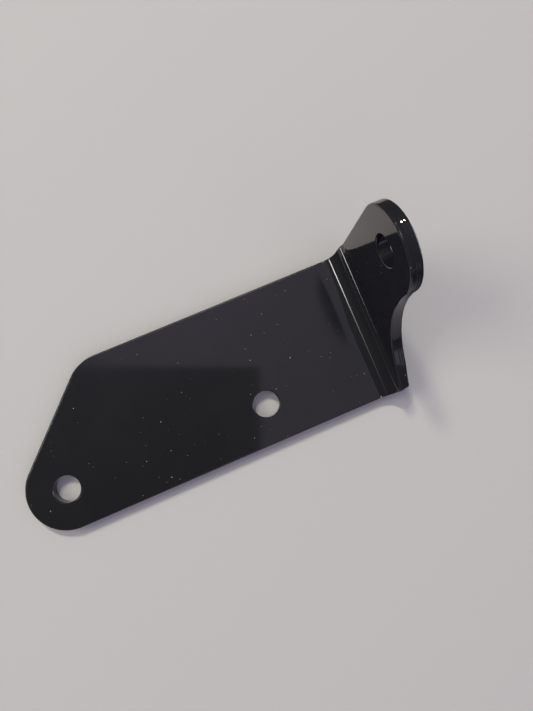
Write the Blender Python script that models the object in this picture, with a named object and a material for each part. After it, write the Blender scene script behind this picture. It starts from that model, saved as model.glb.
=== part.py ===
"""Power steering pump bracket: one steel plate with two bolt holes, bent up once into an eared flange.

The blank is drawn flat, given its thickness, and then wrapped round the bend, as a press brake
would do it. X runs along the plate towards the flange, Y across it, and Z is up from its underside.
"""
import math

import bmesh
import bpy
from mathutils import Vector

MM = 0.001

# Sheet and bend
THICKNESS = 4.9 * MM
BEND_RADIUS = 9.0 * MM           # inside radius
BEND_ANGLE = math.radians(88.0)  # a right-angle bend, sprung open a little
NEUTRAL_SHARE = 0.4              # depth of the unstretched layer, as a share of the thickness
EDGE_ROUND = 0.5 * MM            # rim rounding under the coat

# Plate, with its two bolt holes on one line along X
PLATE_WIDTH = 61.4 * MM
END_RADIUS = 16.25 * MM          # round end about the outer hole, also the hole line's edge margin
HOLE_SPACING = 85.5 * MM
HOLE_DIAMETER = 10.7 * MM
INNER_HOLE_TO_BEND = 43.5 * MM
SLANT_ANGLE = math.radians(45.0)
SLANT_CORNER_RADIUS = 17.0 * MM

# Flange, with one bolt hole in a round ear
EAR_HOLE_DIAMETER = 11.5 * MM
EAR_RADIUS = 16.2 * MM
EAR_OUTSET = 4.55 * MM           # how far the ear's side stands out past the plate's plain edge
EAR_REACH = 36.6 * MM            # end of the bend to the ear's hole, along the flange
SIDE_TAPER = math.radians(3.5)   # the flange's plain side widens towards the ear
FLARE_RADIUS = 14.0 * MM         # the easy step out from the plate's edge to the flange's side
FLARE_END = 13.6 * MM            # start of the bend to the end of that step, along the sheet
SCOOP_RADIUS = 41.2 * MM         # hollow edge from the ear down to the tip
TIP_RADIUS = 1.5 * MM

# Fineness of the facets
ARC_CHORD = 1.4 * MM
HOLE_FACETS = 48
BEND_FACETS = 16
RIM_FACETS = 2
SAME_POINT = 0.02 * MM           # vertices nearer than this are one
RIM_MIN_TURN = math.radians(60.0)  # edges that turn more than this are rims
SMOOTH_LIMIT = math.radians(30.0)  # edges that turn more than this stay crisp

COAT_COLOUR = (0.012, 0.012, 0.014, 1.0)
COAT_ROUGHNESS = 0.12
COAT_METALLIC = 0.0


def clear_scene():
    """Removes the objects that Blender starts with."""
    for item in list(bpy.data.objects):
        bpy.data.objects.remove(item, do_unlink=True)


def heading(angle):
    """Unit vector in the sheet's plane."""
    return Vector((math.cos(angle), math.sin(angle), 0.0))


def bend_start():
    """Place of the bend's first line, with the outer hole at zero."""
    return HOLE_SPACING + INNER_HOLE_TO_BEND


def bend_length():
    """Length of the neutral layer round the bend."""
    return (BEND_RADIUS + NEUTRAL_SHARE * THICKNESS) * BEND_ANGLE


def plain_edge():
    """Place across the plate of its edge away from the bolt holes."""
    return PLATE_WIDTH - END_RADIUS


def ear_centre():
    """Centre of the ear on the flat blank."""
    return Vector((bend_start() + bend_length() + EAR_REACH, plain_edge() + EAR_OUTSET - EAR_RADIUS, 0.0))


def outline_arcs():
    """Arcs of the blank's outline in order, each as centre, radius, first angle and turn."""
    quarter = math.pi / 2
    front_edge = -END_RADIUS
    back_edge = plain_edge()
    ear = ear_centre()

    scoop = ear - Vector((0.0, EAR_RADIUS + SCOOP_RADIUS, 0.0))
    tip_height = front_edge + TIP_RADIUS
    tip_reach = math.sqrt((SCOOP_RADIUS + TIP_RADIUS) ** 2 - (tip_height - scoop.y) ** 2)
    tip = Vector((scoop.x - tip_reach, tip_height, 0.0))
    tip_meets_scoop = math.atan2(scoop.y - tip.y, scoop.x - tip.x)

    side_angle = quarter + SIDE_TAPER
    side_start = ear + EAR_RADIUS * heading(side_angle)
    side_run = side_start.x - (bend_start() + FLARE_END)
    side_end = side_start - Vector((side_run, side_run * math.tan(SIDE_TAPER), 0.0))
    flare_out = side_end - FLARE_RADIUS * heading(side_angle)
    flare_rise = back_edge + FLARE_RADIUS - flare_out.y
    flare_run = math.sqrt((2 * FLARE_RADIUS) ** 2 - flare_rise ** 2)
    flare_in = flare_out + Vector((-flare_run, flare_rise, 0.0))
    flare_turn = math.atan2(flare_run, flare_rise)

    slant_angle = quarter + SLANT_ANGLE
    corner_height = back_edge - SLANT_CORNER_RADIUS
    corner_inset = END_RADIUS - SLANT_CORNER_RADIUS
    corner_run = (corner_height * math.cos(SLANT_ANGLE) - corner_inset) / math.sin(SLANT_ANGLE)
    corner = Vector((corner_run, corner_height, 0.0))

    return [
        (tip, TIP_RADIUS, -quarter, quarter + tip_meets_scoop),
        (scoop, SCOOP_RADIUS, math.pi + tip_meets_scoop, -quarter - tip_meets_scoop),
        (ear, EAR_RADIUS, -quarter, math.pi + SIDE_TAPER),
        (flare_out, FLARE_RADIUS, side_angle, flare_turn - SIDE_TAPER),
        (flare_in, FLARE_RADIUS, flare_turn - quarter, -flare_turn),
        (corner, SLANT_CORNER_RADIUS, quarter, SLANT_ANGLE),
        (Vector((0.0, 0.0, 0.0)), END_RADIUS, slant_angle, math.pi - SLANT_ANGLE),
    ]


def bolt_holes():
    """Centre and radius of each bolt hole on the flat blank."""
    return [
        (Vector((0.0, 0.0, 0.0)), HOLE_DIAMETER / 2),
        (Vector((HOLE_SPACING, 0.0, 0.0)), HOLE_DIAMETER / 2),
        (ear_centre(), EAR_HOLE_DIAMETER / 2),
    ]


def draw_arc(blank, centre, radius, first_angle, turn):
    """Spins one vertex about the centre and returns the arc's two ends."""
    start = blank.verts.new(centre + radius * heading(first_angle))
    steps = max(3, round(radius * abs(turn) / ARC_CHORD))
    swept = bmesh.ops.spin(blank, geom=[start], cent=centre, axis=(0.0, 0.0, 1.0), angle=turn, steps=steps)
    end = [item for item in swept["geom_last"] if isinstance(item, bmesh.types.BMVert)][0]
    return start, end


def draw_blank():
    """The flat blank's face, with its outline and its holes."""
    blank = bmesh.new()
    ends = [draw_arc(blank, *arc) for arc in outline_arcs()]
    for arc_number, (start, _) in enumerate(ends):
        previous_end = ends[arc_number - 1][1]
        blank.edges.new((previous_end, start))
    for centre, radius in bolt_holes():
        rim = bmesh.ops.create_circle(blank, segments=HOLE_FACETS, radius=radius)
        bmesh.ops.translate(blank, vec=centre, verts=rim["verts"])
    bmesh.ops.remove_doubles(blank, verts=blank.verts[:], dist=SAME_POINT)
    bmesh.ops.triangle_fill(blank, edges=blank.edges[:], normal=(0.0, 0.0, 1.0), use_beauty=True)
    return blank


def thicken(blank):
    """Gives the blank its thickness, upwards from its underside."""
    raised = bmesh.ops.extrude_face_region(blank, geom=blank.faces[:], use_keep_orig=True)
    top = [item for item in raised["geom"] if isinstance(item, bmesh.types.BMVert)]
    bmesh.ops.translate(blank, vec=(0.0, 0.0, THICKNESS), verts=top)
    bmesh.ops.recalc_face_normals(blank, faces=blank.faces[:])


def score_bend(blank):
    """Cuts lines across the sheet where the bend's facets meet."""
    for line in range(BEND_FACETS + 1):
        place = bend_start() + bend_length() * line / BEND_FACETS
        everything = blank.verts[:] + blank.edges[:] + blank.faces[:]
        bmesh.ops.bisect_plane(
            blank, geom=everything, plane_co=(place, 0.0, 0.0), plane_no=(1.0, 0.0, 0.0), dist=SAME_POINT,
        )


def wrap(point):
    """Place of a point of the flat blank once the sheet is bent."""
    along = point.x - bend_start()
    if along <= 0.0:
        return point.copy()
    turn = min(along / bend_length(), 1.0) * BEND_ANGLE
    past = max(along - bend_length(), 0.0)
    radius = BEND_RADIUS + THICKNESS - point.z
    return Vector((
        bend_start() + radius * math.sin(turn) + past * math.cos(turn),
        point.y,
        THICKNESS + BEND_RADIUS - radius * math.cos(turn) + past * math.sin(turn),
    ))


def bend(blank):
    """Folds the flange up round the inside radius."""
    for vert in blank.verts:
        vert.co = wrap(vert.co)


def round_rims(blank):
    """Rounds the sharp rims of the outline and of the holes."""
    rims = [edge for edge in blank.edges if edge.calc_face_angle(0.0) > RIM_MIN_TURN]
    bmesh.ops.bevel(
        blank, geom=rims, offset=EDGE_ROUND, offset_type="OFFSET", segments=RIM_FACETS,
        profile=0.5, affect="EDGES", material=-1,
    )


def rest_on_origin(mesh):
    """Puts the middle of the bracket's footprint on the origin, with its underside at zero."""
    lows = [min(vert.co[axis] for vert in mesh.vertices) for axis in range(3)]
    highs = [max(vert.co[axis] for vert in mesh.vertices) for axis in range(3)]
    footprint = Vector(((lows[0] + highs[0]) / 2, (lows[1] + highs[1]) / 2, lows[2]))
    for vert in mesh.vertices:
        vert.co -= footprint


def coat():
    """Gloss black coat on steel."""
    paint = bpy.data.materials.new("gloss_black_coat")
    paint.use_nodes = True
    shader = paint.node_tree.nodes["Principled BSDF"]
    shader.inputs["Base Color"].default_value = COAT_COLOUR
    shader.inputs["Roughness"].default_value = COAT_ROUGHNESS
    shader.inputs["Metallic"].default_value = COAT_METALLIC
    return paint


def make_bracket():
    """The whole bracket as one closed body."""
    blank = draw_blank()
    thicken(blank)
    round_rims(blank)
    score_bend(blank)
    bend(blank)
    mesh = bpy.data.meshes.new("bracket_plate")
    blank.to_mesh(mesh)
    blank.free()
    rest_on_origin(mesh)
    mesh.materials.append(coat())
    mesh.shade_smooth()
    mesh.set_sharp_from_angle(angle=SMOOTH_LIMIT)
    bracket = bpy.data.objects.new("bracket_plate", mesh)
    bpy.context.scene.collection.objects.link(bracket)
    flat_faces_first = bracket.modifiers.new("flat_faces_first", "WEIGHTED_NORMAL")
    flat_faces_first.keep_sharp = True
    return bracket


def main():
    clear_scene()
    make_bracket()


main()
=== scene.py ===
"""Looks of a gloss black power steering pump bracket, lying on a pale studio floor.

The bracket is made as a sheet metal shop makes it. Its blank is drawn flat, gets its thickness and its
rounded rims, and is then wrapped round the bend. Everything is in metres. X runs along the plate towards
the flange, Y across the plate, and Z up from its underside.
"""
import math

import bmesh
import bpy
from bpy.props import FloatProperty, FloatVectorProperty, IntProperty, PointerProperty
from mathutils import Euler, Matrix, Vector, noise


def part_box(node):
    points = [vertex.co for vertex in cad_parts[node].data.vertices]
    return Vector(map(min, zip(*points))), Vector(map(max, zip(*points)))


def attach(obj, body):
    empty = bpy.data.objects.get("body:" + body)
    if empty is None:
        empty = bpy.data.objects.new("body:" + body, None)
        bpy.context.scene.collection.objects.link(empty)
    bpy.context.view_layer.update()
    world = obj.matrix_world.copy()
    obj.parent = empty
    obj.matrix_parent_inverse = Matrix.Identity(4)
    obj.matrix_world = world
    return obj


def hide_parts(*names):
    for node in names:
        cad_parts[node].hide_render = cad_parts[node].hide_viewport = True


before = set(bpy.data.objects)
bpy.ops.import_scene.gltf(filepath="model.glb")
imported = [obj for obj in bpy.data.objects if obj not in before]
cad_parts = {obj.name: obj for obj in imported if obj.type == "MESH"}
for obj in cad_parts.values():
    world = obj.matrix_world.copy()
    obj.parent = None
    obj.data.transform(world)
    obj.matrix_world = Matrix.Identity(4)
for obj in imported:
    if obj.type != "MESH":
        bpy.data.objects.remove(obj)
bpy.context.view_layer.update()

bl_info = {
    "name": "Pump Bracket Looks",
    "version": (1, 0, 0),
    "blender": (4, 5, 0),
    "location": "3D View > Sidebar > Bracket",
    "description": "Makes a gloss black bent steel bracket with its coat, and the studio that it lies in",
    "category": "Object",
}

MM = 0.001
SHEET_NODE = "bracket_plate"
FOOTPRINT_LOW, FOOTPRINT_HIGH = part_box(SHEET_NODE)

# Fineness of the mesh
SAME_POINT = 0.02 * MM                # vertices nearer than this are one
ON_THE_LINE = 0.004 * MM              # vertices nearer to a cut than this lie on it
LEAST_ARC_FACETS = 4
RIM_FACETS = 5
RIM_MIN_TURN = math.radians(60.0)     # edges that turn more than this are rims
HOLE_MARGIN = 1.01                    # a hole's wall and sharp rims lie within its radius times this
LEAN_LIMIT = 0.0001                   # a face that leans less than this counts as lying or standing
SLOPE_STEP = 0.01 * MM                # half the stretch over which a ridge's slope is measured
TURN_STEP = 0.002 * MM                # half the stretch over which the bend's turn is measured

# Ridges that cutting left along the edges
RIDGE_PLACES = (0.49, 0.285)          # middles of the two ridges, as shares of the thickness
RIDGE_REACH = 0.05                    # from a ridge's middle to its outermost cuts, as such a share
RIDGE_CUTS = (-1.0, -0.86, -0.5, -0.16, 0.0, 0.16, 0.5, 0.86, 1.0)  # places of the cuts, in that reach
RIDGE_CREST = 0.1                     # half the width of the flat crest, in that reach
RIDGE_FOOT = 0.9                      # half the width of the whole ridge, in that reach
RIDGE_PEAK_TURN = math.radians(15.7)  # place on the ear's rim where the ridges are full
RIDGE_PEAK_REACH = 3.2 * MM           # how far they stay strong round it
RIDGE_LEVEL = 0.22                    # their usual strength elsewhere
RIDGE_SWING = 0.3                     # how much it comes and goes
RIDGE_CLOUD = 7.0 * MM                # length over which it comes and goes
RIDGE_APART = 50.0 * MM               # keeps the two ridges from coming and going together

# Marks that pressing left at the bend
LEAD_BEFORE = 3.4 * MM                # where the plate starts to rise, before the bend
LEAD_AFTER = 1.8 * MM                 # where it has risen most, past the bend's start
LEAD_CUT = 0.3 * MM                   # distance between the cuts across that rise
LEAD_CUTS = 11
STEP_CUTS = (0.0, 0.3, 0.6, 0.9, 1.0, 1.1, 1.4, 1.9, 2.6, 3.6, 5.0, 7.0)  # in halves of the step's width
STEP_FADE = 1.8 * MM                  # how far from the step its mark fades out
MARK_MARGIN = 0.3                     # no mark lies further beside the bend, in the bend's length
SWELL_ALONG = 1.5                     # how closely the swelling gathers at the middle of the bend's turn
SWELL_ACROSS = 3                      # how closely it gathers at the bend's two ends


def length(name, description, default, **limits):
    """A size in metres, given in millimetres."""
    return FloatProperty(
        name=name, description=description, default=default * MM, subtype="DISTANCE", unit="LENGTH",
        precision=5, **limits,
    )


def angle(name, description, default):
    """An angle, given in degrees."""
    return FloatProperty(
        name=name, description=description, default=math.radians(default), subtype="ANGLE", unit="ROTATION",
    )


def share(name, description, default, most=1.0):
    """A plain number from nothing to the most that it may be."""
    return FloatProperty(name=name, description=description, default=default, min=0.0, max=most, precision=4)


def colour(name, description, default):
    """A linear colour without transparency."""
    return FloatVectorProperty(
        name=name, description=description, default=default, subtype="COLOR", size=3, min=0.0, max=1.0,
    )


class SheetSizes(bpy.types.PropertyGroup):
    """Sizes of the bent sheet."""

    thickness: length("Thickness", "Thickness of the steel sheet with its coat", 4.9)
    bend_radius: length("Bend Radius", "Inside radius of the bend", 9.0)
    bend_angle: angle("Bend Angle", "Turn of the flange out of the plate", 88.0)
    neutral_share: share("Neutral Layer", "Depth of the unstretched layer, as a share of the thickness", 0.4)
    plate_width: length("Plate Width", "Width across the plate", 61.4)
    end_radius: length("End Radius", "Round end about the outer bolt hole", 16.25)
    hole_spacing: length("Hole Spacing", "Distance between the two bolt holes of the plate", 85.5)
    hole_diameter: length("Hole Diameter", "Bolt holes of the plate", 10.7)
    inner_hole_to_bend: length("Hole to Bend", "Inner bolt hole to the start of the bend", 43.5)
    slant_angle: angle("Slant Angle", "Slant of the plate's cut corner", 45.0)
    slant_corner_radius: length("Slant Corner", "Radius between the plain edge and the slant", 17.0)
    ear_hole_diameter: length("Ear Hole", "Bolt hole of the ear", 11.5)
    ear_radius: length("Ear Radius", "Round ear on the flange", 16.2)
    ear_outset: length("Ear Outset", "How far the ear's side stands out past the plain edge", 4.55)
    ear_reach: length("Ear Reach", "End of the bend to the ear's hole", 36.6)
    side_taper: angle("Side Taper", "Widening of the flange's plain side towards the ear", 3.5)
    flare_radius: length("Flare Radius", "Step from the plate's edge out to the flange's side", 14.0)
    flare_end: length("Flare End", "Start of the bend to the end of that step", 13.6)
    scoop_radius: length("Scoop Radius", "Hollow edge from the ear down to the tip", 43.4)
    scoop_lead: angle("Scoop Lead", "Turn of the ear's rim where the hollow edge leaves it", 1.7)
    tip_radius: length("Tip Radius", "Corner at the end of the hollow edge", 1.5)
    top_rim: length("Top Rim", "Rounding of the rims on the side that the tool entered", 0.75)
    under_rim: length("Under Rim", "Rounding of the rims on the other side", 0.7)
    hole_rim: length("Hole Rim", "Rounding of the bolt holes' rims on the tool's side", 0.55)
    hole_under_rim: length("Hole Under Rim", "Rounding of the bolt holes' rims on the other side", 0.2)
    bend_swell: length("Bend Swell", "How far the bend's inside swells out at its two ends", 0.35)
    bend_lead: length("Bend Lead", "How far the plate already rises where it runs into the bend", 0.12)
    press_step: length("Press Step", "Step that the press tool left along the bend", 0.2045)
    press_step_width: length("Press Step Width", "Width of the face of that step", 0.26)
    press_place: angle("Press Step Place", "Turn of the bend at that step", 66.0)
    cut_ridge: length("Cut Ridges", "Height of the ridges that cutting left along the edges", 0.0470)
    arc_chord: length("Arc Chord", "Length of the facets along the outline", 0.4)
    bend_facets: IntProperty(
        name="Bend Facets", description="Facets round the bend", default=56, min=8, max=200,
    )
    hole_facets: IntProperty(name="Hole Facets", description="Facets round a bolt hole", default=96, min=16)


class CoatLooks(bpy.types.PropertyGroup):
    """Looks of the gloss black coat."""

    coat_colour: colour("Coat Colour", "Black of the baked coat", (0.0114, 0.0113, 0.0132))
    thin_colour: colour(
        "Thin Coat Colour", "Slightly paler black where the coat lies thin", (0.0127, 0.0124, 0.0144),
    )
    # Painted light: a paler, bluer black on the flange's standing faces, for the stronger light that falls
    # on them
    flange_painted_light_colour: colour(
        "Flange Painted Light Colour", "Coat on the standing faces of the flange", (0.0160, 0.0157, 0.0214),
    )
    roughness: share("Roughness", "Roughness of the clean coat", 0.05)
    haze: share("Haze", "Extra roughness in the dull patches", 0.03)
    peel_height: length("Peel Height", "Height of the coat's orange peel", 0.0006)
    dust_colour: colour("Dust Colour", "Lint and dust on the coat", (0.30, 0.29, 0.27))
    dust: share("Dust", "How thickly the dust lies", 0.6)


class StudioLooks(bpy.types.PropertyGroup):
    """Floor, lamps and camera."""

    floor_colour: colour("Floor Colour", "Pale matt floor", (0.490, 0.481, 0.502))
    # Painted reflection: what mirror rays see in place of the floor, with painted shadow at the sheet's end
    reflected_sheet_colour: colour("Reflected Sheet Colour", "Floor as the coat mirrors it beside the plate", (0.64, 0.60, 0.61))
    reflected_shadow_colour: colour(
        "Reflected Shadow Colour", "Floor as the coat mirrors it beyond the flange", (0.44, 0.42, 0.49),
    )
    reflected_room_colour: colour("Reflected Room Colour", "Dim room that the coat mirrors past the floor", (0.05, 0.05, 0.055))
    key_power: share("Key Lamp", "Power in watts of the small lamp behind the plate", 19.0, 200.0)
    second_power: share("Second Lamp", "Power in watts of the softer lamp beside it", 16.5, 200.0)
    side_power: share("Side Lamp", "Power in watts of the wide lamp beyond the round end", 24.0, 400.0)
    front_power: share("Front Lamp", "Power in watts of the widest lamp, in front of the plate", 8.0, 200.0)
    room_light: share("Room Light", "Strength of the even light that fills the shadows", 0.135)
    wall_colour: colour("Wall Colour", "Plain pale wall behind the floor", (0.52, 0.50, 0.48))
    sky_strength: share("Overhead Light", "Strength of the soft light from above", 1.0, 20.0)
    camera_place: FloatVectorProperty(
        name="Camera Place", description="Place of the camera", default=(0.0134344, -0.0046225, 0.2217272),
        subtype="TRANSLATION", unit="LENGTH", size=3, precision=5,
    )
    camera_turn: FloatVectorProperty(
        name="Camera Turn", description="Turn of the camera",
        default=(math.radians(3.05502), math.radians(-3.15752), math.radians(-22.90602)),
        subtype="EULER", unit="ROTATION", size=3,
    )
    camera_lens: FloatProperty(
        name="Lens", description="Focal length on a 36 mm high picture", default=27.038, unit="CAMERA",
    )


# Blank, drawn flat with the outer bolt hole at zero


def heading(turn):
    """Unit vector in the sheet's plane."""
    return Vector((math.cos(turn), math.sin(turn), 0.0))


def bend_start(sizes):
    """Place of the bend's first line."""
    return sizes.hole_spacing + sizes.inner_hole_to_bend


def bend_length(sizes):
    """Length of the neutral layer round the bend."""
    return (sizes.bend_radius + sizes.neutral_share * sizes.thickness) * sizes.bend_angle


def plain_edge(sizes):
    """Place across the plate of its edge away from the bolt holes."""
    return sizes.plate_width - sizes.end_radius


def ear_centre(sizes):
    """Centre of the ear on the flat blank."""
    along = bend_start(sizes) + bend_length(sizes) + sizes.ear_reach
    return Vector((along, plain_edge(sizes) + sizes.ear_outset - sizes.ear_radius, 0.0))


def outline_arcs(sizes):
    """Arcs of the blank's outline in order, each as centre, radius, first angle and turn."""
    quarter = math.pi / 2
    front_edge = -sizes.end_radius
    back_edge = plain_edge(sizes)
    ear = ear_centre(sizes)
    ear_radius = sizes.ear_radius
    scoop_radius = sizes.scoop_radius
    tip_radius = sizes.tip_radius
    flare_radius = sizes.flare_radius

    leave = sizes.scoop_lead - quarter
    scoop = ear + (ear_radius + scoop_radius) * heading(leave)
    tip_height = front_edge + tip_radius
    tip_reach = math.sqrt((scoop_radius + tip_radius) ** 2 - (tip_height - scoop.y) ** 2)
    tip = Vector((scoop.x - tip_reach, tip_height, 0.0))
    tip_meets_scoop = math.atan2(scoop.y - tip.y, scoop.x - tip.x)

    side_angle = quarter + sizes.side_taper
    side_start = ear + ear_radius * heading(side_angle)
    side_run = side_start.x - (bend_start(sizes) + sizes.flare_end)
    side_end = side_start - Vector((side_run, side_run * math.tan(sizes.side_taper), 0.0))
    flare_out = side_end - flare_radius * heading(side_angle)
    flare_rise = back_edge + flare_radius - flare_out.y
    flare_run = math.sqrt((2 * flare_radius) ** 2 - flare_rise ** 2)
    flare_in = flare_out + Vector((-flare_run, flare_rise, 0.0))
    flare_turn = math.atan2(flare_run, flare_rise)

    slant = sizes.slant_angle
    corner_height = back_edge - sizes.slant_corner_radius
    corner_inset = sizes.end_radius - sizes.slant_corner_radius
    corner_run = (corner_height * math.cos(slant) - corner_inset) / math.sin(slant)
    corner = Vector((corner_run, corner_height, 0.0))

    return [
        (tip, tip_radius, -quarter, quarter + tip_meets_scoop),
        (scoop, scoop_radius, math.pi + tip_meets_scoop, leave - tip_meets_scoop),
        (ear, ear_radius, leave, quarter + sizes.side_taper - leave),
        (flare_out, flare_radius, side_angle, flare_turn - sizes.side_taper),
        (flare_in, flare_radius, flare_turn - quarter, -flare_turn),
        (corner, sizes.slant_corner_radius, quarter, slant),
        (Vector((0.0, 0.0, 0.0)), sizes.end_radius, quarter + slant, math.pi - slant),
    ]


def bolt_holes(sizes):
    """Centre and radius of each bolt hole on the flat blank."""
    return [
        (Vector((0.0, 0.0, 0.0)), sizes.hole_diameter / 2),
        (Vector((sizes.hole_spacing, 0.0, 0.0)), sizes.hole_diameter / 2),
        (ear_centre(sizes), sizes.ear_hole_diameter / 2),
    ]


def draw_arc(blank, chord, centre, radius, first_angle, turn):
    """Spins one vertex about the centre and returns the arc's two ends."""
    start = blank.verts.new(centre + radius * heading(first_angle))
    steps = max(LEAST_ARC_FACETS, round(radius * abs(turn) / chord))
    swept = bmesh.ops.spin(blank, geom=[start], cent=centre, axis=(0.0, 0.0, 1.0), angle=turn, steps=steps)
    end = [item for item in swept["geom_last"] if isinstance(item, bmesh.types.BMVert)][0]
    return start, end


def draw_blank(sizes):
    """The flat blank's face, with its outline and its holes."""
    blank = bmesh.new()
    ends = [draw_arc(blank, sizes.arc_chord, *arc) for arc in outline_arcs(sizes)]
    for arc_number, (start, _) in enumerate(ends):
        blank.edges.new((ends[arc_number - 1][1], start))
    for centre, radius in bolt_holes(sizes):
        rim = bmesh.ops.create_circle(blank, segments=sizes.hole_facets, radius=radius)
        bmesh.ops.translate(blank, vec=centre, verts=rim["verts"])
    bmesh.ops.remove_doubles(blank, verts=blank.verts[:], dist=SAME_POINT)
    bmesh.ops.triangle_fill(blank, edges=blank.edges[:], normal=(0.0, 0.0, 1.0), use_beauty=True)
    return blank


def thicken(blank, sizes):
    """Gives the blank its thickness, upwards from its underside."""
    raised = bmesh.ops.extrude_face_region(blank, geom=blank.faces[:], use_keep_orig=True)
    top = [item for item in raised["geom"] if isinstance(item, bmesh.types.BMVert)]
    bmesh.ops.translate(blank, vec=(0.0, 0.0, sizes.thickness), verts=top)
    bmesh.ops.recalc_face_normals(blank, faces=blank.faces[:])


def at_a_hole(sizes, point):
    """Whether a point of the flat blank lies on the wall or the sharp rim of a bolt hole."""
    return any(
        (point.xy - centre.xy).length < radius * HOLE_MARGIN for centre, radius in bolt_holes(sizes)
    )


def rim_edges(blank, sizes, at_top, at_holes):
    """Sharp rims of the holes or of the outline, on one side of the sheet."""
    found = []
    for edge in blank.edges:
        if edge.calc_face_angle(0.0) < RIM_MIN_TURN:
            continue
        middle = (edge.verts[0].co + edge.verts[1].co) / 2
        if (middle.z > sizes.thickness / 2) == at_top and at_a_hole(sizes, middle) == at_holes:
            found.append(edge)
    return found


def round_rims(blank, sizes):
    """Rounds the rims, more on the side that the tool entered."""
    roundings = [
        (True, False, sizes.top_rim),
        (False, False, sizes.under_rim),
        (True, True, sizes.hole_rim),
        (False, True, sizes.hole_under_rim),
    ]
    for at_top, at_holes, rounding in roundings:
        bmesh.ops.bevel(
            blank, geom=rim_edges(blank, sizes, at_top, at_holes), offset=rounding, offset_type="OFFSET",
            segments=RIM_FACETS, profile=0.5, affect="EDGES", material=-1,
        )


def ease(value):
    """Smooth rise from nothing to one."""
    value = min(max(value, 0.0), 1.0)
    return value * value * (3.0 - 2.0 * value)


def ridge_strength(sizes, point, number):
    """How strongly a ridge stands out at a place of the edge.

    It comes and goes, is full on top of the ear, and is missing in the bolt holes.
    """
    if at_a_hole(sizes, point):
        return 0.0
    peak = ear_centre(sizes) + sizes.ear_radius * heading(RIDGE_PEAK_TURN)
    near = math.exp(-((point.xy - peak.xy).length / RIDGE_PEAK_REACH) ** 2)
    clouds = noise.noise(Vector((point.x, point.y, number * RIDGE_APART)) / RIDGE_CLOUD)
    return max(near, RIDGE_LEVEL + RIDGE_SWING * clouds)


def cut_relief(sizes, point):
    """Height of the ridges on a cut edge, which run along it at two places across the thickness."""
    height = 0.0
    for number, middle in enumerate(RIDGE_PLACES):
        off = abs(point.z / sizes.thickness - middle) / RIDGE_REACH
        if off < RIDGE_FOOT:
            flank = (RIDGE_FOOT - off) / (RIDGE_FOOT - RIDGE_CREST)
            height += min(flank, 1.0) * ridge_strength(sizes, point, number)
    return sizes.cut_ridge * height


def cut_line(blank, place, direction):
    """Cuts one line round the sheet, where the plane through a place and square to a direction meets it."""
    everything = blank.verts[:] + blank.edges[:] + blank.faces[:]
    bmesh.ops.bisect_plane(blank, geom=everything, plane_co=place, plane_no=direction, dist=ON_THE_LINE)


def score_walls(blank, sizes):
    """Cuts lines round the cut edges, so that their ridges have vertices."""
    for middle in RIDGE_PLACES:
        for off in RIDGE_CUTS:
            up = sizes.thickness * (middle + off * RIDGE_REACH)
            cut_line(blank, (0.0, 0.0, up), (0.0, 0.0, 1.0))


def step_place(sizes):
    """Place of the press tool's step along the flat blank."""
    return bend_start(sizes) + bend_length(sizes) * sizes.press_place / sizes.bend_angle


def score_lines(sizes):
    """Places along the blank where the bend's facets meet, closer together at the press tool's step."""
    lines = [
        bend_start(sizes) + bend_length(sizes) * number / sizes.bend_facets
        for number in range(sizes.bend_facets + 1)
    ]
    reach = sizes.press_step_width / 2
    lines += [step_place(sizes) + side * reach * step for step in STEP_CUTS for side in (-1, 1)]
    lines += [bend_start(sizes) - LEAD_BEFORE + LEAD_CUT * number for number in range(LEAD_CUTS)]
    return sorted(set(lines))


def score_bend(blank, sizes):
    """Cuts lines across the sheet where the bend's facets meet."""
    for place in score_lines(sizes):
        cut_line(blank, (place, 0.0, 0.0), (1.0, 0.0, 0.0))


# Bend, with the marks that pressing leaves


def press_mark(sizes, along):
    """Height of the press tool's mark on the inside of the bend.

    Along the blank it is a slow rise, a sudden step down and a slow return.
    """
    offset = along - step_place(sizes)
    half = sizes.press_step_width / 2
    if abs(offset) <= half:
        return -0.5 * sizes.press_step * offset / half
    fade = 1.0 - ease((abs(offset) - half) / STEP_FADE)
    return -0.5 * sizes.press_step * fade * math.copysign(1.0, offset)


def lead_in(sizes, along):
    """How far the inside has risen where the plate runs into the bend, which starts softly."""
    rise = min(max((along + LEAD_BEFORE) / (LEAD_BEFORE + LEAD_AFTER), 0.0), 1.0)
    fall = ease((along - LEAD_AFTER) / (bend_length(sizes) - LEAD_AFTER))
    return sizes.bend_lead * (4.0 * rise ** 3 - 3.0 * rise ** 4) * (1.0 - fall)


def wrap(sizes, point):
    """Place of a point of the flat blank once the sheet is bent, with the bend's marks and swelling."""
    along = point.x - bend_start(sizes)
    across = point.y
    height = point.z
    depth = height / sizes.thickness
    progress = along / bend_length(sizes)
    if -MARK_MARGIN < progress < 1.0 + MARK_MARGIN:
        height += (press_mark(sizes, point.x) + lead_in(sizes, along)) * ease(depth)
        middle = (plain_edge(sizes) - sizes.end_radius) / 2
        side = (across - middle) / (sizes.plate_width / 2)
        side = min(max(side, -1.0), 1.0) ** SWELL_ACROSS
        swelling = math.sin(math.pi * min(max(progress, 0.0), 1.0)) ** SWELL_ALONG
        across += sizes.bend_swell * swelling * (depth - sizes.neutral_share) * side
    if along <= 0.0:
        return Vector((point.x, across, height))
    turn = min(progress, 1.0) * sizes.bend_angle
    past = max(along - bend_length(sizes), 0.0)
    radius = sizes.bend_radius + sizes.thickness - height
    return Vector((
        bend_start(sizes) + radius * math.sin(turn) + past * math.cos(turn),
        across,
        sizes.thickness + sizes.bend_radius - radius * math.cos(turn) + past * math.sin(turn),
    ))


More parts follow.
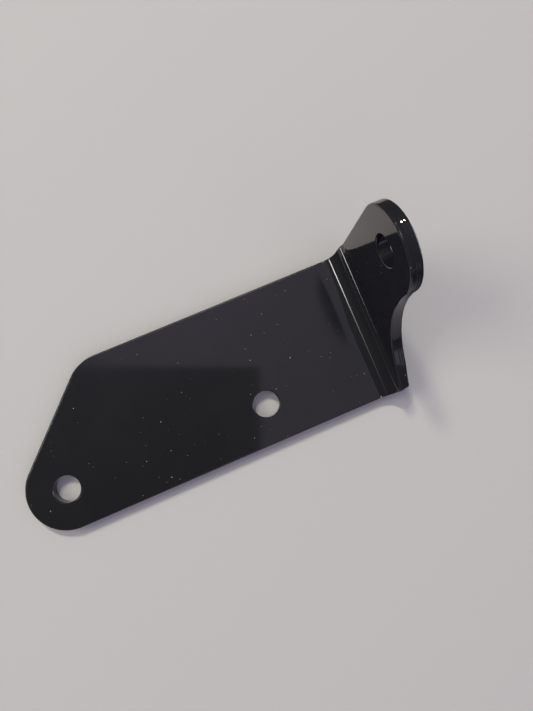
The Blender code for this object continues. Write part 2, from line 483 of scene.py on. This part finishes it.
def flat_normal(vert, sizes):
    """Direction that the surface faces at a vertex of the flat blank, and how far its ridge stands out."""
    lying = [face for face in vert.link_faces if abs(face.normal.z) > 1.0 - LEAN_LIMIT]
    standing = [face for face in vert.link_faces if abs(face.normal.z) < LEAN_LIMIT]
    if lying:
        return lying[0].normal.copy(), Vector((0.0, 0.0, 0.0))
    normal = Vector((0.0, 0.0, 0.0))
    for face in standing or vert.link_faces:
        normal += face.normal
    normal.normalize()
    if len(standing) < len(vert.link_faces):
        return normal, Vector((0.0, 0.0, 0.0))
    step = Vector((0.0, 0.0, SLOPE_STEP))
    slope = (cut_relief(sizes, vert.co + step) - cut_relief(sizes, vert.co - step)) / (2 * step.z)
    outwards = normal * cut_relief(sizes, vert.co)
    return (normal - Vector((0.0, 0.0, slope))).normalized(), outwards


def wrapped_normal(sizes, point, normal):
    """Direction that the surface faces once the sheet is bent."""
    axes = (Vector((TURN_STEP, 0.0, 0.0)), Vector((0.0, TURN_STEP, 0.0)), Vector((0.0, 0.0, TURN_STEP)))
    along, across, up = [wrap(sizes, point + axis) - wrap(sizes, point - axis) for axis in axes]
    turned = normal.x * across.cross(up) + normal.y * up.cross(along) + normal.z * along.cross(across)
    return turned.normalized()


def bend(blank, sizes):
    """Folds the flange up, puts the bracket in its own place and returns the vertices' directions."""
    place = Vector((
        FOOTPRINT_LOW.x + sizes.end_radius, FOOTPRINT_LOW.y + sizes.end_radius, FOOTPRINT_LOW.z,
    ))
    bmesh.ops.triangulate(blank, faces=[face for face in blank.faces if len(face.verts) > 4])
    blank.normal_update()
    blank.verts.index_update()
    directions = [flat_normal(vert, sizes) for vert in blank.verts]
    normals = []
    for vert, (normal, outwards) in zip(blank.verts, directions):
        point = vert.co + outwards
        normals.append(wrapped_normal(sizes, point, normal))
        vert.co = wrap(sizes, point) + place
    return normals


# Coat

# Single flecks of lint, in millimetres: place along the plate, across it and above its underside, and width
FLECKS = [
    (65.9, 28.2, 4.85, 0.75), (65.8, -32.5, 4.95, 0.75), (37.5, -3.2, 4.9, 0.55), (22.0, 2.2, 4.9, 0.45),
    (-24.8, -28.7, 4.9, 0.5), (-73.1, -22.2, 4.9, 0.5), (-50.1, 11.7, 4.9, 0.48), (-20.5, -6.7, 4.9, 0.48),
]
FLECK_CORE = 0.3                      # a fleck is whole this near to its middle, in its width
SPECK_CORE = 0.55                     # share of a speck's size within which it is whole
LINT_ROUGHNESS = 0.8                  # roughness of dust and lint
RUBBED_SHARE = 0.5                    # share of that roughness on the plate's rubbed plain edge
RUBBED_EDGE = (27.5 * MM, 27.9 * MM)  # across the plate, from gloss to rubbed
RUBBED_END = (64.0 * MM, 60.0 * MM)   # along the plate, from gloss to rubbed
WAVE_SHARE = 2.0                      # height of the coat's long waves, in that of its orange peel


def opaque(tone):
    """A colour with full cover as its fourth part, which nodes ask for."""
    return (*tone, 1.0)


class NodeDesk:
    """Puts shader nodes in a tree and joins them."""

    def __init__(self, tree):
        self.tree = tree
        self.tree.nodes.clear()

    def node(self, kind, label, inputs=None, **settings):
        """A node with its settings and its inputs: numbers, colours or other nodes' outputs."""
        made = self.tree.nodes.new(kind)
        made.label = label
        for setting, value in settings.items():
            setattr(made, setting, value)
        for socket, value in (inputs or {}).items():
            if isinstance(value, bpy.types.NodeSocket):
                self.tree.links.new(value, made.inputs[socket])
            else:
                made.inputs[socket].default_value = value
        return made

    def maths(self, operation, label, *values, clamp=False):
        """A number worked out from others."""
        made = self.node(
            "ShaderNodeMath", label, dict(enumerate(values)), operation=operation, use_clamp=clamp,
        )
        return made.outputs[0]

    def vector_maths(self, operation, label, *values):
        """A number worked out from vectors."""
        made = self.node("ShaderNodeVectorMath", label, dict(enumerate(values)), operation=operation)
        return made.outputs["Value"]

    def weigh(self, label, x, y, x_share, y_share, offset=0.0):
        """Two numbers, each times its share, and an offset, added up."""
        part = self.maths("MULTIPLY_ADD", label + " part", x, x_share, offset)
        return self.maths("MULTIPLY_ADD", label, y, y_share, part)

    def blend(self, label, part, first, second):
        """A colour between two, each a colour or another node's output."""
        made = self.node("ShaderNodeMix", label, {"Factor": part, 6: first, 7: second}, data_type="RGBA")
        return made.outputs[2]

    def glow(self, label, tone, strength):
        """An even light for the surroundings."""
        made = self.node("ShaderNodeBackground", label, {"Color": opaque(tone), "Strength": strength})
        return made.outputs[0]

    def both(self, label, first, second):
        """Two shaders added up."""
        return self.node("ShaderNodeAddShader", label, {0: first, 1: second}).outputs[0]

    def either(self, label, part, first, second):
        """A mix of two shaders."""
        return self.node("ShaderNodeMixShader", label, {0: part, 1: first, 2: second}).outputs[0]

    def ramp(self, label, value, low, high, to_low=0.0, to_high=1.0):
        """A smooth step of a number between two limits."""
        made = self.node(
            "ShaderNodeMapRange", label,
            {"Value": value, "From Min": low, "From Max": high, "To Min": to_low, "To Max": to_high},
            interpolation_type="SMOOTHSTEP",
        )
        return made.outputs["Result"]

    def profile(self, label, value, points):
        """A number read off a line through points, each a place and a height."""
        first, last = points[0][0], points[-1][0]
        most = max(height for _, height in points)
        along = self.node(
            "ShaderNodeMapRange", label + " place", {"Value": value, "From Min": first, "From Max": last},
        )
        ramp = self.node("ShaderNodeValToRGB", label, {"Fac": along.outputs["Result"]})
        stops = ramp.color_ramp.elements
        while len(stops) < len(points):
            stops.new(0.5)
        for stop, (place, height) in zip(stops, points):
            stop.position = (place - first) / (last - first)
            stop.color = (height / most, height / most, height / most, 1.0)
        return self.maths("MULTIPLY", label + " height", ramp.outputs["Color"], most)

    def noise(self, label, vector, scale, detail=2.0, roughness=0.5):
        """Cloudy noise round one half."""
        made = self.node(
            "ShaderNodeTexNoise", label,
            {"Vector": vector, "Scale": scale, "Detail": detail, "Roughness": roughness},
        )
        return made.outputs["Fac"]

    def specks(self, label, vector, scale, size, kept):
        """Scattered round specks: one where a speck lies, nought elsewhere.

        Kept is the share of the pattern's cells that hold a speck.
        """
        cells = self.node(
            "ShaderNodeTexVoronoi", label, {"Vector": vector, "Scale": scale, "Randomness": 1.0},
            feature="F1", voronoi_dimensions="3D",
        )
        near = self.ramp(label + " spot", cells.outputs["Distance"], size, size * SPECK_CORE)
        lot = self.node("ShaderNodeSeparateColor", label + " lot", {"Color": cells.outputs["Color"]})
        chosen = self.maths("LESS_THAN", label + " choice", lot.outputs[0], kept)
        faint = self.maths("POWER", label + " faintness", lot.outputs[1], 2.0)
        weight = self.maths("MULTIPLY", label + " weight", near, chosen)
        return self.maths("MULTIPLY", label + " specks", weight, faint)


def flecks(desk, place):
    """The single flecks: one on a fleck, nought elsewhere."""
    found = 0.0
    for number, (along, across, up, width) in enumerate(FLECKS):
        middle = (along * MM, across * MM, up * MM)
        away = desk.vector_maths("DISTANCE", f"away from fleck {number}", place, middle)
        one = desk.ramp(f"fleck {number}", away, 0.5 * width * MM, FLECK_CORE * width * MM)
        found = desk.maths("MAXIMUM", f"flecks up to {number}", found, one)
    return found


def rubbed_edge(desk, place):
    """How rubbed the coat is: only on the plate's plain edge, up to the bend."""
    parts = desk.node("ShaderNodeSeparateXYZ", "place parts", {"Vector": place})
    edge = desk.ramp("plain edge", parts.outputs["Y"], *RUBBED_EDGE)
    plate = desk.ramp("before the bend", parts.outputs["X"], *RUBBED_END)
    edge = desk.maths("MULTIPLY", "plain edge of the plate", edge, plate)
    return desk.maths("MULTIPLY", "edge matt", edge, RUBBED_SHARE)


def black_coat(looks):
    """Gloss black coat: orange peel, thin patches, dust, rubbed edge, and painted light on the flange."""
    paint = bpy.data.materials.new("gloss_black_coat")
    paint.use_nodes = True
    desk = NodeDesk(paint.node_tree)
    place = desk.node("ShaderNodeTexCoord", "place on the bracket").outputs["Object"]

    fine_dust = desk.specks("fine dust", place, scale=950.0, size=0.20, kept=0.07 * looks.dust)
    big_dust = desk.specks("big dust", place, scale=150.0, size=0.045, kept=0.03 * looks.dust)
    dust = desk.maths("MAXIMUM", "all dust", fine_dust, big_dust)
    dust = desk.maths("MAXIMUM", "dust and flecks", dust, flecks(desk, place), clamp=True)

    thin = desk.noise("thin patches", place, scale=60.0, detail=4.0, roughness=0.55)
    thin = desk.ramp("thin share", thin, low=0.42, high=0.68)
    body = desk.blend("coat body", thin, opaque(looks.coat_colour), opaque(looks.thin_colour))
    # Painted light: standing faces get the paler flange colour, as if more light fell on them than on the
    # plate
    facing = desk.node("ShaderNodeTexCoord", "facing").outputs["Normal"]
    facing = desk.node("ShaderNodeSeparateXYZ", "facing parts", {"Vector": facing}).outputs["X"]
    standing = desk.maths("ABSOLUTE", "facing along", facing)
    standing = desk.ramp("standing face", standing, low=0.6, high=0.97)
    faces = desk.blend("painted light on the flange", standing, body, opaque(looks.flange_painted_light_colour))
    dusty = desk.blend("dusty coat", dust, faces, opaque(looks.dust_colour))

    clouds = desk.noise("dull patches", place, scale=25.0, detail=3.0, roughness=0.6)
    dullest = looks.roughness + looks.haze
    haze = desk.ramp("haze", clouds, low=0.45, high=0.75, to_low=looks.roughness, to_high=dullest)
    matt = desk.maths("MAXIMUM", "dust and rubbed edge", dust, rubbed_edge(desk, place))
    matt = desk.maths("MULTIPLY", "matt places", matt, LINT_ROUGHNESS)
    rough = desk.maths("MAXIMUM", "roughness with dust", haze, matt)

    peel = desk.noise("orange peel", place, scale=900.0, detail=1.0)
    waves = desk.noise("waves", place, scale=140.0, detail=1.0)
    relief = desk.maths("MULTIPLY_ADD", "peel on waves", waves, WAVE_SHARE, peel)
    bump = desk.node(
        "ShaderNodeBump", "peel relief", {"Strength": 1.0, "Distance": looks.peel_height, "Height": relief},
    )

    shader = desk.node(
        "ShaderNodeBsdfPrincipled", "coat",
        {"Base Color": dusty, "Roughness": rough, "Normal": bump.outputs["Normal"], "IOR": 1.5},
    )
    desk.node("ShaderNodeOutputMaterial", "surface", {"Surface": shader.outputs["BSDF"]})
    return paint


class BRACKET_OT_add_sheet(bpy.types.Operator):
    """Makes the bent sheet of the bracket with its gloss black coat"""

    bl_idname = "bracket.add_sheet"
    bl_label = "Add Bent Sheet"
    bl_options = {"REGISTER", "UNDO"}

    def execute(self, context):
        sizes = context.scene.bracket_sheet
        blank = draw_blank(sizes)
        thicken(blank, sizes)
        round_rims(blank, sizes)
        score_walls(blank, sizes)
        score_bend(blank, sizes)
        normals = bend(blank, sizes)
        mesh = bpy.data.meshes.new("bent_sheet")
        blank.to_mesh(mesh)
        blank.free()
        mesh.materials.append(black_coat(context.scene.bracket_coat))
        mesh.shade_smooth()
        mesh.normals_split_custom_set_from_vertices(normals)
        piece = bpy.data.objects.new("bent_sheet", mesh)
        context.scene.collection.objects.link(piece)
        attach(piece, "root")
        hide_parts(SHEET_NODE)
        return {"FINISHED"}


# Studio

# Floor, in metres from the bracket's middle
FLOOR_HALF = 4.0                      # half its width
FLOOR_FADE = (0.35, 1.1)              # where it fades into the wall for the camera

# Painted reflection of the floor as a pale sheet: the slant of its sides, and its borders from pale to dim
SHEET_COSINE, SHEET_SINE = 0.929, 0.371
SHEET_MIDDLE = 0.008
SHEET_BACK = (0.133, 0.140)
SHEET_END = (0.084, 0.093)
SHEET_END_SLANT = 0.36
SHEET_END_START = (0.080, 0.095)      # nearer than this along the sheet, its end doesn't count
# Painted shadow in the reflection: the sheet turns dimmer and bluer towards its end, beyond the flange
SHEET_END_TONE = (0.05, 0.09)         # from the sheet's colour to that of its end

# Lamps: name, setting of the power, direction from the flange, width in metres, seen in the coat
LAMPS = [
    ("key_lamp", "key_power", (0.026, 0.816, 1.0), 0.09, True),
    ("second_lamp", "second_power", (-0.14, 0.98, 1.0), 0.22, False),
    ("side_lamp", "side_power", (-1.15, 0.68, 1.0), 1.3, False),
    ("front_lamp", "front_power", (0.1, -1.0, 1.0), 2.6, False),
]
LAMP_COLOUR = (1.0, 1.0, 0.75)
LAMP_DISTANCE = 2.5
LAMP_TARGET = Vector((FOOTPRINT_HIGH.x, 0.0, 0.05))

# Light of the surroundings: the soft field above, the strip, the two low lights and the even room light
SOFT_COLOUR = (1.04, 0.96, 1.24)
ROOM_LIGHT_COLOUR = (1.03, 0.97, 1.5)
STRIP_COLOUR = (1.0, 1.0, 0.95)
STRIP_STRENGTH = 24.0
LEFT_LEAN = 90.0                      # the strip's place is given in degrees up from the left
STRIP_HALF = (2.3, 1.0)               # degrees from the strip's middle, from dark to bright
LOW_COLOUR = (0.8, 0.88, 1.25)
FRONT_STRENGTH = 0.6
END_STRENGTH = 6.0
END_DIRECTION = (0.985, -0.05, 0.12)
DIM_RIGHT_SLANT = -0.412              # slants of the dim corner's two borders
DIM_UPPER_SLANT = 0.426
SPOT_MIDDLE = (0.2250, 0.058)         # dull spot's middle, as slopes along and across the plate
SPOT_HALF = (0.0205, 0.068)           # its half width, as such slopes
SPOT_LEVEL = 0.10                     # light that the spot leaves
LEAST_UPWARD = 0.02                   # keeps the slopes finite near the horizon
LEAST_FORWARD = 0.05                  # does so for the turn of the front light
FIRST_MIRROR = 2.5                    # rays deeper than this come from a second mirror


def floor_paint(looks):
    """Matt pale floor, which fades into the wall.

    Mirror rays see a painted reflection: a pale sheet, painted shadow at its end, and a dim room beyond.
    """
    paint = bpy.data.materials.new("pale_floor")
    paint.use_nodes = True
    desk = NodeDesk(paint.node_tree)
    rays = desk.node("ShaderNodeLightPath", "kind of ray")
    place = desk.node("ShaderNodeTexCoord", "place on the floor").outputs["Object"]
    split = desk.node("ShaderNodeSeparateXYZ", "place parts", {"Vector": place})
    x, y = split.outputs["X"], split.outputs["Y"]
    across = desk.weigh("across the sheet", x, y, SHEET_SINE, SHEET_COSINE, -SHEET_MIDDLE)
    along = desk.weigh("along the sheet", x, y, SHEET_COSINE, -SHEET_SINE)
    sideways = desk.weigh("towards the end", x, y, 1.0, SHEET_END_SLANT)

    behind = desk.ramp("behind the sheet", across, *SHEET_BACK)
    past = desk.ramp("past the end", sideways, *SHEET_END)
    past_start = desk.ramp("past the end's start", along, *SHEET_END_START)
    past = desk.maths("MULTIPLY", "past the sheet", past, past_start)
    beyond = desk.maths("MAXIMUM", "beyond the sheet", behind, past)

    # Painted shadow: the reflected sheet turns dimmer and bluer towards its end
    reflected_shadow_share = desk.ramp("towards its end", along, *SHEET_END_TONE)
    sheet = desk.blend(
        "painted sheet reflection", reflected_shadow_share, opaque(looks.reflected_sheet_colour), opaque(looks.reflected_shadow_colour),
    )
    mirrored = desk.blend("painted floor reflection", beyond, sheet, opaque(looks.reflected_room_colour))
    # Painted reflection: mirror rays see the sheet and the dim room instead of the floor's own colour
    tone = desk.blend("floor tone", rays.outputs["Is Glossy Ray"], opaque(looks.floor_colour), mirrored)

    shader = desk.node(
        "ShaderNodeBsdfPrincipled", "matt floor",
        {"Base Color": tone, "Roughness": 0.9, "Specular IOR Level": 0.2},
    )
    far = desk.ramp("far off", desk.vector_maths("LENGTH", "away from the middle", place), *FLOOR_FADE)
    far = desk.maths("MULTIPLY", "far off for the camera", far, rays.outputs["Is Camera Ray"])
    wall = desk.node(
        "ShaderNodeEmission", "wall tone", {"Color": opaque(looks.wall_colour), "Strength": 1.0},
    )
    mixed = desk.either("floor or wall", far, shader.outputs[0], wall.outputs[0])
    desk.node("ShaderNodeOutputMaterial", "surface", {"Surface": mixed})
    return paint


def add_floor(context, looks):
    """A wide floor at the underside of the plate."""
    plan = bmesh.new()
    bmesh.ops.create_grid(plan, x_segments=1, y_segments=1, size=FLOOR_HALF)
    bmesh.ops.translate(plan, vec=(0.0, 0.0, FOOTPRINT_LOW.z), verts=plan.verts[:])
    mesh = bpy.data.meshes.new("studio_floor")
    plan.to_mesh(mesh)
    plan.free()
    mesh.materials.append(floor_paint(looks))
    floor = bpy.data.objects.new("studio_floor", mesh)
    context.scene.collection.objects.link(floor)


def add_lamp(context, name, power, towards, width, mirrored):
    """A round warm lamp, which shines at the flange."""
    light = bpy.data.lights.new(name, "AREA")
    light.shape = "DISK"
    light.size = width
    light.energy = power
    light.color = LAMP_COLOUR
    lamp = bpy.data.objects.new(name, light)
    lamp.location = LAMP_TARGET + Vector(towards).normalized() * LAMP_DISTANCE
    lamp.rotation_euler = Vector(towards).to_track_quat("Z", "Y").to_euler()
    lamp.visible_camera = False
    lamp.visible_glossy = mirrored
    context.scene.collection.objects.link(lamp)


def overhead_light(desk, lean, slope_x, slope_y):
    """Soft field above the plate: brighter across the plate, dim in one corner, with one small dull spot."""
    field = desk.profile("light by lean", lean, [
        (-90.0, 0.02), (-74.0, 0.05), (-66.0, 0.075), (-55.0, 0.115), (-46.0, 0.17), (-38.0, 0.30),
        (-30.0, 0.30), (-24.0, 0.22), (-17.0, 0.26), (-12.0, 0.50), (-8.0, 0.53), (2.0, 0.53), (9.0, 0.51),
        (13.5, 0.48), (20.0, 0.42), (24.3, 0.36), (26.0, 0.18), (60.0, 0.15), (90.0, 0.10),
    ])
    across = desk.profile("light across", slope_y, [
        (-1.5, 0.9), (-0.6, 0.78), (-0.06, 0.78), (0.0, 0.84), (0.14, 1.0), (0.5, 1.1), (1.5, 0.5),
    ])
    field = desk.maths("MULTIPLY", "field", field, across)

    right_side = desk.weigh("right border", slope_x, slope_y, 1.0, DIM_RIGHT_SLANT)
    above = desk.weigh("upper border", slope_x, slope_y, DIM_UPPER_SLANT, 1.0)
    dim_left = desk.ramp("left of border", right_side, low=0.051, high=0.043)
    dim_below = desk.ramp("below border", above, low=0.040, high=0.030)
    dim = desk.maths("MULTIPLY", "dim corner", dim_left, dim_below)
    dim_level = desk.profile("dim level", slope_y, [
        (-0.14, 0.055), (-0.06, 0.075), (0.05, 0.12), (0.14, 0.15),
    ])
    dim_level = desk.maths("MINIMUM", "dim level in the field", dim_level, field)
    field = desk.node(
        "ShaderNodeMix", "field with dim corner", {"Factor": dim, "A": field, "B": dim_level},
        data_type="FLOAT",
    ).outputs[0]

    spot_x, spot_y = [
        desk.maths("MULTIPLY_ADD", label, slope, 1.0 / half, -middle / half)
        for label, slope, middle, half in zip(
            ("spot along", "spot across"), (slope_x, slope_y), SPOT_MIDDLE, SPOT_HALF,
        )
    ]
    spot = desk.node("ShaderNodeCombineXYZ", "spot place", {"X": spot_x, "Y": spot_y}).outputs[0]
    reach = desk.vector_maths("LENGTH", "spot reach", spot)
    spot = desk.ramp("dull spot", reach, low=0.84, high=1.14, to_low=SPOT_LEVEL)
    return desk.maths("MULTIPLY", "field with dull spot", field, spot)


def strip_light(desk, lean, rise):
    """One narrow bright strip, low towards the plate's round end, which the bend shows as a fine line."""
    middle = desk.profile("strip middle", rise, [
        (-0.12, 57.6), (-0.051, 58.1), (0.021, 58.95), (0.057, 59.2), (0.093, 59.6), (0.129, 60.4),
        (0.4, 60.4),
    ])
    off = desk.weigh("from strip", lean, middle, 1.0, -1.0, offset=LEFT_LEAN)
    off = desk.maths("ABSOLUTE", "off the strip", off)
    inside = desk.ramp("strip width", off, *STRIP_HALF)
    fade = desk.profile("strip fade", rise, [
        (-0.12, 0.012), (-0.087, 0.028), (-0.051, 0.053), (-0.015, 0.095), (0.021, 0.185), (0.039, 0.25),
        (0.057, 0.37), (0.075, 0.67), (0.093, 0.88), (0.111, 1.0), (0.3, 1.0), (0.4, 0.0),
    ])
    strip = desk.maths("MULTIPLY", "strip inside", inside, fade)
    return desk.maths("MULTIPLY", "strip light", strip, STRIP_STRENGTH)


def low_light(desk, direction, x, y, z):
    """Two cool low lights: a narrow one before the plate and one beyond the flange, which the rims show."""
    forwards = desk.maths("MAXIMUM", "forwards", desk.maths("MULTIPLY", "front", y, -1.0), LEAST_FORWARD)
    turned = desk.maths("DIVIDE", "turned aside", x, forwards)
    left_end = desk.ramp("left end", turned, low=0.30, high=0.34)
    right_end = desk.ramp("right end", turned, low=0.475, high=0.44)
    foot = desk.ramp("foot", z, low=0.16, high=0.24, to_high=FRONT_STRENGTH)
    head = desk.ramp("head", z, low=0.52, high=0.40)
    front = desk.maths("MULTIPLY", "front light", left_end, right_end)
    front = desk.maths("MULTIPLY", "front light above", front, foot)
    front = desk.maths("MULTIPLY", "front light below", front, head)
    beyond = desk.vector_maths("DOT_PRODUCT", "towards the end", direction, END_DIRECTION)
    end_light = desk.ramp("end light", beyond, low=0.88, high=0.95, to_high=END_STRENGTH)
    return desk.maths("ADD", "low light", front, end_light)


def add_sky(context, looks):
    """Soft light from above, low lights that the coat mirrors, and a plain pale wall for the camera."""
    world = bpy.data.worlds.new("studio_sky")
    context.scene.world = world
    world.use_nodes = True
    desk = NodeDesk(world.node_tree)
    direction = desk.node("ShaderNodeTexCoord", "direction").outputs["Generated"]
    split = desk.node("ShaderNodeSeparateXYZ", "direction parts", {"Vector": direction})
    x, y, z = (split.outputs[axis] for axis in ("X", "Y", "Z"))
    upward = desk.maths("MAXIMUM", "upward part", z, LEAST_UPWARD)
    slope_x = desk.maths("DIVIDE", "slope along", x, upward)
    slope_y = desk.maths("DIVIDE", "slope across", y, upward)
    lean = desk.maths("ARCTAN2", "lean", x, upward)
    lean = desk.maths("MULTIPLY", "lean in degrees", lean, math.degrees(1.0))
    flat_part = desk.node("ShaderNodeCombineXYZ", "flat part", {"X": x, "Z": z}).outputs[0]
    rise = desk.maths("DIVIDE", "rise across", y, desk.vector_maths("LENGTH", "flat length", flat_part))

    rays = desk.node("ShaderNodeLightPath", "kind of ray")
    first = desk.maths("LESS_THAN", "first mirror", rays.outputs["Ray Depth"], FIRST_MIRROR)
    mirrored = desk.maths("MULTIPLY", "seen in the coat", rays.outputs["Is Glossy Ray"], first)
    matt = desk.maths("SUBTRACT", "not mirrored", 1.0, rays.outputs["Is Glossy Ray"])
    field = overhead_light(desk, lean, slope_x, slope_y)
    field = desk.maths("MULTIPLY", "level", field, looks.sky_strength)
    strip = desk.maths("MULTIPLY", "strip level", strip_light(desk, lean, rise), mirrored)
    low = desk.maths("MULTIPLY", "low level", low_light(desk, direction, x, y, z), mirrored)
    room = desk.maths("MULTIPLY", "room level", matt, looks.room_light)

    lit = desk.glow("soft light", SOFT_COLOUR, field)
    lit = desk.both("soft and strip light", lit, desk.glow("strip light", STRIP_COLOUR, strip))
    lit = desk.both("mirrored light", lit, desk.glow("cool low light", LOW_COLOUR, low))
    lit = desk.both("light on the bracket", lit, desk.glow("room light", ROOM_LIGHT_COLOUR, room))
    wall = desk.glow("pale wall", looks.wall_colour, 1.0)
    mixed = desk.either("wall or light", rays.outputs["Is Camera Ray"], lit, wall)
    desk.node("ShaderNodeOutputWorld", "surroundings", {"Surface": mixed})


def add_camera(context, looks):
    """Camera at the picture's viewing angle."""
    view = bpy.data.cameras.new("view")
    view.sensor_fit = "VERTICAL"
    view.sensor_height = 36.0
    view.lens = looks.camera_lens
    view.clip_start = 0.01
    view.clip_end = 30.0
    camera = bpy.data.objects.new("view", view)
    camera.location = looks.camera_place
    camera.rotation_euler = Euler(looks.camera_turn)
    context.scene.collection.objects.link(camera)
    context.scene.camera = camera


class BRACKET_OT_add_studio(bpy.types.Operator):
    """Lays the pale floor and sets the lamps and the camera"""

    bl_idname = "bracket.add_studio"
    bl_label = "Add Studio"
    bl_options = {"REGISTER", "UNDO"}

    def execute(self, context):
        looks = context.scene.bracket_studio
        add_floor(context, looks)
        for name, power, towards, width, mirrored in LAMPS:
            add_lamp(context, name, getattr(looks, power), towards, width, mirrored)
        add_sky(context, looks)
        add_camera(context, looks)
        context.scene.view_settings.view_transform = "Standard"
        return {"FINISHED"}


class BRACKET_PT_looks(bpy.types.Panel):
    """Sizes and looks of the bracket and its studio"""

    bl_idname = "BRACKET_PT_looks"
    bl_label = "Pump Bracket"
    bl_space_type = "VIEW_3D"
    bl_region_type = "UI"
    bl_category = "Bracket"

    def draw(self, context):
        groups = [
            (BRACKET_OT_add_sheet, context.scene.bracket_sheet),
            (None, context.scene.bracket_coat),
            (BRACKET_OT_add_studio, context.scene.bracket_studio),
        ]
        for operator, group in groups:
            box = self.layout.box()
            for name in group.__annotations__:
                box.prop(group, name)
            if operator:
                box.operator(operator.bl_idname)


CLASSES = (
    SheetSizes, CoatLooks, StudioLooks, BRACKET_OT_add_sheet, BRACKET_OT_add_studio, BRACKET_PT_looks,
)


def register():
    """Makes the settings, the operators and the panel known."""
    for item in CLASSES:
        bpy.utils.register_class(item)
    bpy.types.Scene.bracket_sheet = PointerProperty(type=SheetSizes)
    bpy.types.Scene.bracket_coat = PointerProperty(type=CoatLooks)
    bpy.types.Scene.bracket_studio = PointerProperty(type=StudioLooks)


def unregister():
    """Takes them away again."""
    del bpy.types.Scene.bracket_studio
    del bpy.types.Scene.bracket_coat
    del bpy.types.Scene.bracket_sheet
    for item in reversed(CLASSES):
        bpy.utils.unregister_class(item)


def main():
    """Makes the bracket and its studio."""
    register()
    bpy.ops.bracket.add_sheet()
    bpy.ops.bracket.add_studio()


if __name__ == "__main__":
    main()
